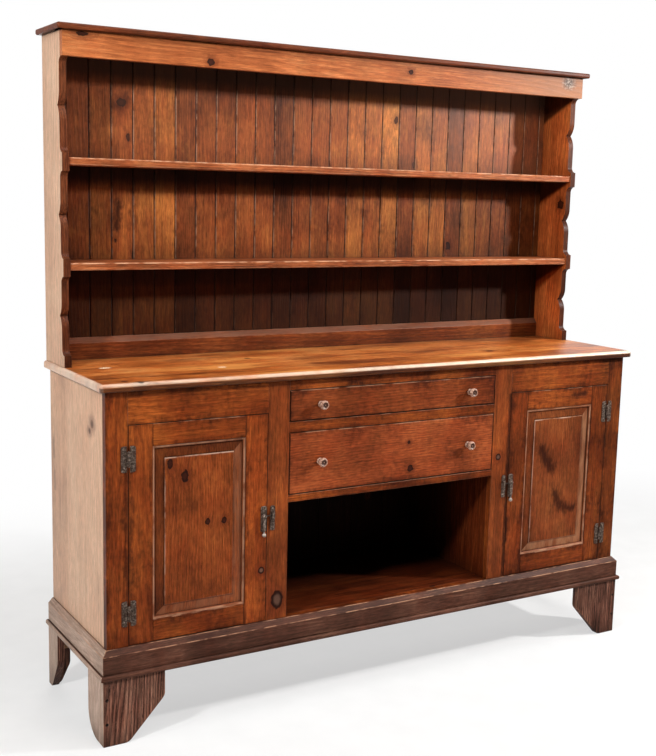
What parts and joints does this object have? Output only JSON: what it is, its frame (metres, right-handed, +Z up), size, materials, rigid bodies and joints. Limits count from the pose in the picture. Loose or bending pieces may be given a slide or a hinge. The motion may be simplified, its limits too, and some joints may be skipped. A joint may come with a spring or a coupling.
{
  "type": "welsh dresser",
  "caption": "Pine welsh dresser: plank-backed shelf rack with scalloped ends over a base with panel doors, knobbed drawers, an open recess, a plinth and bracket feet.",
  "frame": {"origin": "on the floor, under the middle of the bounding box", "axes": "+X to the viewer's right, +Y to the back, +Z up"},
  "size_m": [1.715, 0.447, 1.7465],
  "materials": {
    "red_pine": "waxed red-brown stain",
    "warm_pine": "worn wax polish",
    "brown_pine": "dull dark stain",
    "plain_pine": "unfinished",
    "worn_knob": "worn, turned",
    "dark_iron": "hammered, dull"
  },
  "bodies": {
    "dresser": {"back_feet": "brown_pine", "base_back_boards": "plain_pine", "base_floor": "plain_pine", "base_side_left": "red_pine", "base_side_right": "red_pine", "bottom_rail": "red_pine", "cornice": "red_pine", "counter_top": "warm_pine", "door_head_rails": "red_pine", "drawer_rails": "red_pine", "drawer_runners": "plain_pine", "drawer_stops": "plain_pine", "foot_blocks": "plain_pine", "foot_screws": "dark_iron", "frame_screws": "dark_iron", "frieze": "red_pine", "front_feet": "brown_pine", "hinge_frame_leaves": "dark_iron", "hinge_pins": "dark_iron", "inner_stiles": "red_pine", "latch_keeps": "dark_iron", "lower_shelf": "warm_pine", "outer_stiles": "red_pine", "partitions": "plain_pine", "plate_rail": "red_pine", "plinth_front": "brown_pine", "plinth_returns": "brown_pine", "rack_back_boards": "red_pine", "rack_dowels": "plain_pine", "rack_side_left": "red_pine", "rack_side_right": "red_pine", "recess_ceiling": "red_pine", "shoe_moulding": "brown_pine", "upper_shelf": "warm_pine"},
    "left_door": {"left_door_hinge_leaves": "dark_iron", "left_door_panel": "red_pine", "left_door_panel_bead": "red_pine", "left_door_rails": "red_pine", "left_door_screws": "dark_iron", "left_door_stiles": "red_pine", "left_latch_plate": "dark_iron"},
    "right_door": {"right_door_hinge_leaves": "dark_iron", "right_door_panel": "red_pine", "right_door_panel_bead": "red_pine", "right_door_rails": "red_pine", "right_door_screws": "dark_iron", "right_door_stiles": "red_pine", "right_latch_plate": "dark_iron"},
    "upper_drawer": {"upper_drawer_back": "plain_pine", "upper_drawer_bottom": "plain_pine", "upper_drawer_front": "red_pine", "upper_drawer_knobs": "worn_knob", "upper_drawer_sides": "plain_pine"},
    "lower_drawer": {"lower_drawer_back": "plain_pine", "lower_drawer_bottom": "plain_pine", "lower_drawer_front": "red_pine", "lower_drawer_knobs": "worn_knob", "lower_drawer_sides": "plain_pine"},
    "left_latch_lever": {"left_latch_lever": "dark_iron"},
    "right_latch_lever": {"right_latch_lever": "dark_iron"}
  },
  "joints": [
    {"name": "left_door_hinge", "type": "hinge", "parent": "dresser", "child": "left_door", "pos_m": [-0.7747, -0.2025, 0.521], "axis": [0, 0, -1], "range_deg": [0, 170]},
    {"name": "right_door_hinge", "type": "hinge", "parent": "dresser", "child": "right_door", "pos_m": [0.7747, -0.2025, 0.521], "axis": [0, 0, 1], "range_deg": [0, 170]},
    {"name": "upper_drawer_slide", "type": "slide", "parent": "dresser", "child": "upper_drawer", "axis": [0, -1, 0], "range_m": [0, 0.28]},
    {"name": "lower_drawer_slide", "type": "slide", "parent": "dresser", "child": "lower_drawer", "axis": [0, -1, 0], "range_m": [0, 0.28]},
    {"name": "left_latch_swing", "type": "hinge", "parent": "left_door", "child": "left_latch_lever", "pos_m": [-0.4076, -0.2005, 0.529], "axis": [0, 1, 0], "range_deg": [0, 45]},
    {"name": "right_latch_swing", "type": "hinge", "parent": "right_door", "child": "right_latch_lever", "pos_m": [0.4076, -0.2005, 0.529], "axis": [0, -1, 0], "range_deg": [0, 45]}
  ]
}
